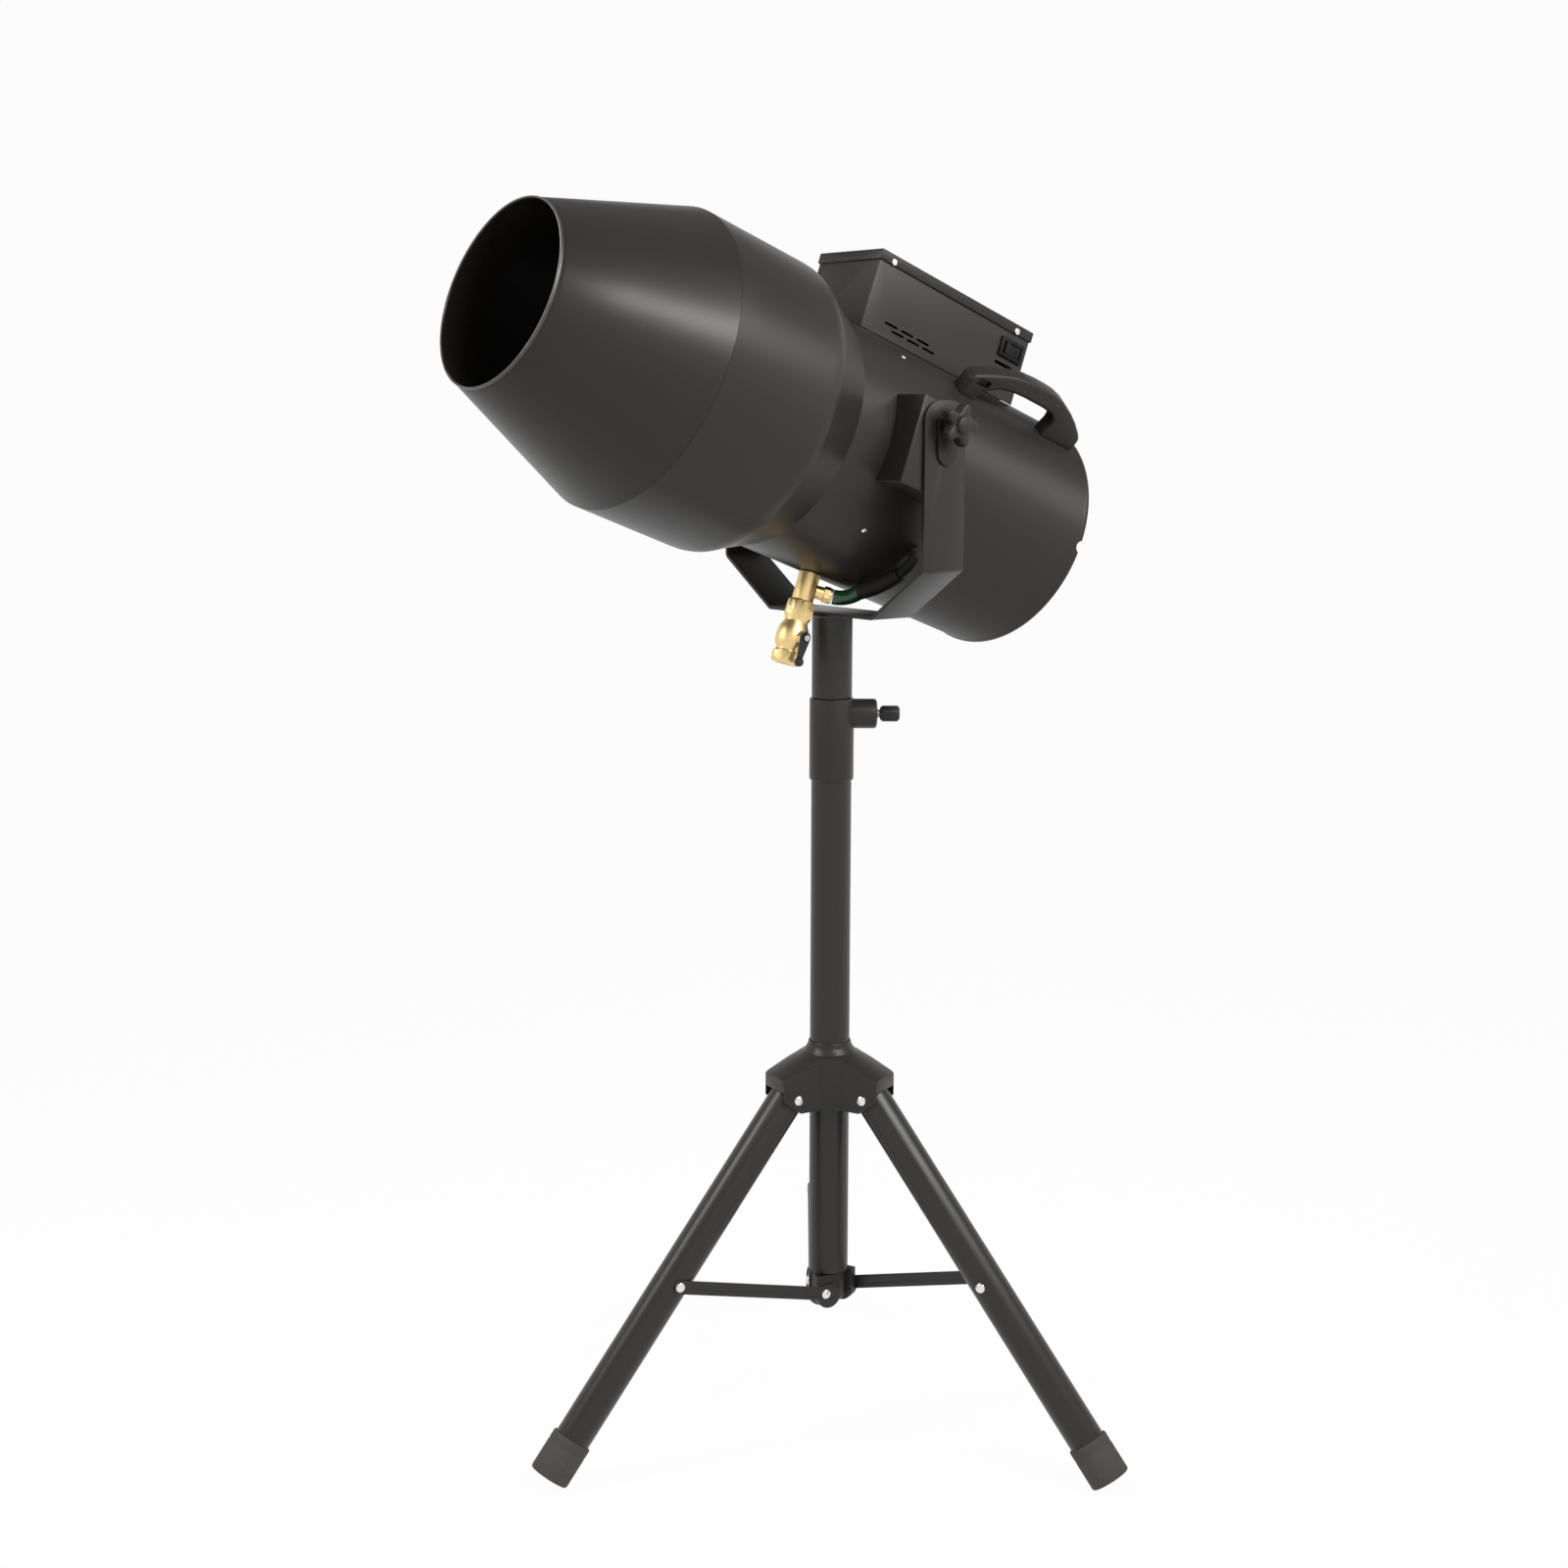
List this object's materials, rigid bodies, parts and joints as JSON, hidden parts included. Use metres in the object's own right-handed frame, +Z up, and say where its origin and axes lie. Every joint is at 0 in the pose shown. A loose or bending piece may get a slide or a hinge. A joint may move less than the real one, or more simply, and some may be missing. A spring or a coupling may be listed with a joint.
{
  "type": "foam machine",
  "caption": "Tilting jet foam cannon: a fan barrel with a tapered nozzle, control box and water valve, held in a yoke on a folding tripod stand.",
  "frame": {"origin": "middle of the machine's footprint on the floor, under the centre of its bounding box", "axes": "+Z up; -Y towards the side the picture is taken from, between the two front legs; the barrel points to -X, -Y and up"},
  "size_m": [0.6104, 0.6044, 1.1575],
  "materials": {
    "column_tube": "gloss black enamel",
    "height_collar": "moulded black plastic",
    "lower_bracket": "moulded black plastic",
    "brace_pin_front_left": "bright zinc-plated steel",
    "brace_pin_front_right": "bright zinc-plated steel",
    "brace_pin_rear": "bright zinc-plated steel",
    "clamp_knob": "moulded black plastic",
    "leg_hub": "satin black powder coat",
    "leg_pin_front_left": "bright zinc-plated steel",
    "leg_pin_front_right": "bright zinc-plated steel",
    "leg_pin_rear": "bright zinc-plated steel",
    "hub_lock_screw": "moulded black plastic",
    "leg_front_left": "gloss black enamel",
    "foot_front_left": "matte dark grey rubber",
    "brace_front_left": "gloss black enamel",
    "leg_front_right": "gloss black enamel",
    "foot_front_right": "matte dark grey rubber",
    "brace_front_right": "gloss black enamel",
    "leg_rear": "gloss black enamel",
    "foot_rear": "matte dark grey rubber",
    "brace_rear": "gloss black enamel",
    "mast_tube": "bright zinc-plated steel",
    "mast_bush": "moulded black plastic",
    "yoke_socket": "gloss black enamel",
    "yoke_bracket": "satin black powder coat",
    "pivot_keeper_left": "moulded black plastic",
    "pivot_keeper_right": "moulded black plastic",
    "nozzle_cone": "satin black powder coat",
    "drum_shell": "satin black powder coat",
    "fan_housing": "satin black powder coat",
    "rear_guard": "satin black powder coat",
    "motor_mount": "satin black powder coat",
    "fan_motor": "bright zinc-plated steel",
    "foam_screen": "bright zinc-plated steel",
    "spray_pipe": "bright zinc-plated steel",
    "spray_nozzle": "turned brass",
    "control_box": "satin black powder coat",
    "box_lid": "satin black powder coat",
    "control_board": "green circuit board",
    "run_capacitor": "moulded black plastic",
    "switch_body": "moulded black plastic",
    "cable_gland": "moulded black plastic",
    "carry_handle": "moulded black plastic",
    "pivot_pad_left": "satin black powder coat",
    "pivot_pad_right": "satin black powder coat",
    "tilt_bolt_left": "bright zinc-plated steel",
    "tilt_bolt_right": "bright zinc-plated steel",
    "inlet_nipple": "turned brass",
    "valve_body": "turned brass",
    "hose_nut": "turned brass",
    "bypass_hose": "green reinforced hose",
    "hose_port": "turned brass",
    "star_knob_left": "moulded black plastic",
    "star_knob_right": "moulded black plastic",
    "impeller": "moulded black plastic",
    "power_rocker": "moulded black plastic",
    "valve_lever": "moulded black plastic",
    "valve_ball": "bright zinc-plated steel"
  },
  "bodies": {
    "column": {"column_tube": "column_tube", "height_collar": "height_collar", "lower_bracket": "lower_bracket", "brace_pin_front_left": "brace_pin_front_left", "brace_pin_front_right": "brace_pin_front_right", "brace_pin_rear": "brace_pin_rear"},
    "clamp_screw": {"clamp_knob": "clamp_knob"},
    "hub": {"leg_hub": "leg_hub", "leg_pin_front_left": "leg_pin_front_left", "leg_pin_front_right": "leg_pin_front_right", "leg_pin_rear": "leg_pin_rear"},
    "hub_lock": {"hub_lock_screw": "hub_lock_screw"},
    "leg_front_left": {"leg_front_left": "leg_front_left", "foot_front_left": "foot_front_left"},
    "brace_front_left": {"brace_front_left": "brace_front_left"},
    "leg_front_right": {"leg_front_right": "leg_front_right", "foot_front_right": "foot_front_right"},
    "brace_front_right": {"brace_front_right": "brace_front_right"},
    "leg_rear": {"leg_rear": "leg_rear", "foot_rear": "foot_rear"},
    "brace_rear": {"brace_rear": "brace_rear"},
    "mast": {"mast_tube": "mast_tube", "mast_bush": "mast_bush"},
    "yoke": {"yoke_socket": "yoke_socket", "yoke_bracket": "yoke_bracket", "pivot_keeper_left": "pivot_keeper_left", "pivot_keeper_right": "pivot_keeper_right"},
    "barrel": {"nozzle_cone": "nozzle_cone", "drum_shell": "drum_shell", "fan_housing": "fan_housing", "rear_guard": "rear_guard", "motor_mount": "motor_mount", "fan_motor": "fan_motor", "foam_screen": "foam_screen", "spray_pipe": "spray_pipe", "spray_nozzle": "spray_nozzle", "control_box": "control_box", "box_lid": "box_lid", "control_board": "control_board", "run_capacitor": "run_capacitor", "switch_body": "switch_body", "cable_gland": "cable_gland", "carry_handle": "carry_handle", "pivot_pad_left": "pivot_pad_left", "pivot_pad_right": "pivot_pad_right", "tilt_bolt_left": "tilt_bolt_left", "tilt_bolt_right": "tilt_bolt_right", "inlet_nipple": "inlet_nipple", "valve_body": "valve_body", "hose_nut": "hose_nut", "bypass_hose": "bypass_hose", "hose_port": "hose_port"},
    "star_knob_left": {"star_knob_left": "star_knob_left"},
    "star_knob_right": {"star_knob_right": "star_knob_right"},
    "impeller": {"impeller": "impeller"},
    "power_rocker": {"power_rocker": "power_rocker"},
    "water_valve": {"valve_lever": "valve_lever", "valve_ball": "valve_ball"}
  },
  "joints": [
    {"name": "clamp_screw_turn", "type": "hinge", "parent": "column", "child": "clamp_screw", "pos_m": [0.07966, -0.01243, 0.703], "axis": [1, 0, 0], "range_deg": [0, 270]},
    {"name": "hub_slide", "type": "slide", "parent": "column", "child": "hub", "axis": [0, 0, 1], "range_m": [0, 0.1651]},
    {"name": "hub_lock_turn", "type": "hinge", "parent": "hub", "child": "hub_lock", "pos_m": [0.06413, 0.00747, 0.345], "axis": [0.866, 0.5, 0], "range_deg": [0, 270]},
    {"name": "leg_fold_front_left", "type": "hinge", "parent": "hub", "child": "leg_front_left", "pos_m": [-0.00992, -0.03528, 0.3371], "axis": [0.5, -0.866, 0], "range_deg": [0, 37.84]},
    {"name": "brace_fold_front_left", "type": "hinge", "parent": "column", "child": "brace_front_left", "pos_m": [0.02789, -0.03597, 0.1371], "axis": [0.5, -0.866, 0], "range_deg": [-65.14, 0]},
    {"name": "leg_fold_front_right", "type": "hinge", "parent": "hub", "child": "leg_front_right", "pos_m": [0.06924, -0.03528, 0.3371], "axis": [0.5, 0.866, 0], "range_deg": [0, 37.84]},
    {"name": "brace_fold_front_right", "type": "hinge", "parent": "column", "child": "brace_front_right", "pos_m": [0.05093, -0.00219, 0.1371], "axis": [0.5, 0.866, 0], "range_deg": [-65.14, 0]},
    {"name": "leg_fold_rear", "type": "hinge", "parent": "hub", "child": "leg_rear", "pos_m": [0.02966, 0.03327, 0.3371], "axis": [-1, 0, 0], "range_deg": [0, 37.84]},
    {"name": "brace_fold_rear", "type": "hinge", "parent": "column", "child": "brace_rear", "pos_m": [0.01016, 0.00087, 0.1371], "axis": [-1, 0, 0], "range_deg": [-65.14, 0]},
    {"name": "mast_slide", "type": "slide", "parent": "column", "child": "mast", "axis": [0, 0, 1], "range_m": [0, 0.35]},
    {"name": "yoke_pan", "type": "hinge", "parent": "mast", "child": "yoke", "pos_m": [0.02966, -0.01243, 0.76], "axis": [0, 0, 1], "continuous": true},
    {"name": "barrel_tilt", "type": "hinge", "parent": "yoke", "child": "barrel", "pos_m": [0.03669, -0.00681, 0.9716], "axis": [0.6242, -0.7813, 0], "range_deg": [-8.5, 1.5]},
    {"name": "star_knob_left_turn", "type": "hinge", "parent": "barrel", "child": "star_knob_left", "pos_m": [0.13593, -0.13104, 0.9716], "axis": [0.6242, -0.7813, 0], "range_deg": [0, 270]},
    {"name": "star_knob_right_turn", "type": "hinge", "parent": "barrel", "child": "star_knob_right", "pos_m": [-0.06255, 0.11741, 0.9716], "axis": [-0.6242, 0.7813, 0], "range_deg": [0, 270]},
    {"name": "impeller_spin", "type": "hinge", "parent": "barrel", "child": "impeller", "pos_m": [0.12602, 0.06455, 0.90032], "axis": [-0.7324, -0.5851, 0.3482], "continuous": true},
    {"name": "power_rocker_rock", "type": "hinge", "parent": "barrel", "child": "power_rocker", "pos_m": [0.19799, 0.06828, 1.04072], "axis": [0.2721, 0.2174, 0.9374], "range_deg": [-12, 0]},
    {"name": "water_valve_turn", "type": "hinge", "parent": "barrel", "child": "water_valve", "pos_m": [0.00425, -0.05807, 0.77848], "axis": [0.6242, -0.7813, 0], "range_deg": [-90, 0]}
  ],
  "couplings": [
    {"joint": "leg_fold_front_left", "follows": "hub_slide", "rad_per_m": 4.0002},
    {"joint": "brace_fold_front_left", "follows": "hub_slide", "rad_per_m": -6.8863},
    {"joint": "leg_fold_front_right", "follows": "hub_slide", "rad_per_m": 4.0002},
    {"joint": "brace_fold_front_right", "follows": "hub_slide", "rad_per_m": -6.8863},
    {"joint": "leg_fold_rear", "follows": "hub_slide", "rad_per_m": 4.0002},
    {"joint": "brace_fold_rear", "follows": "hub_slide", "rad_per_m": -6.8863}
  ]
}
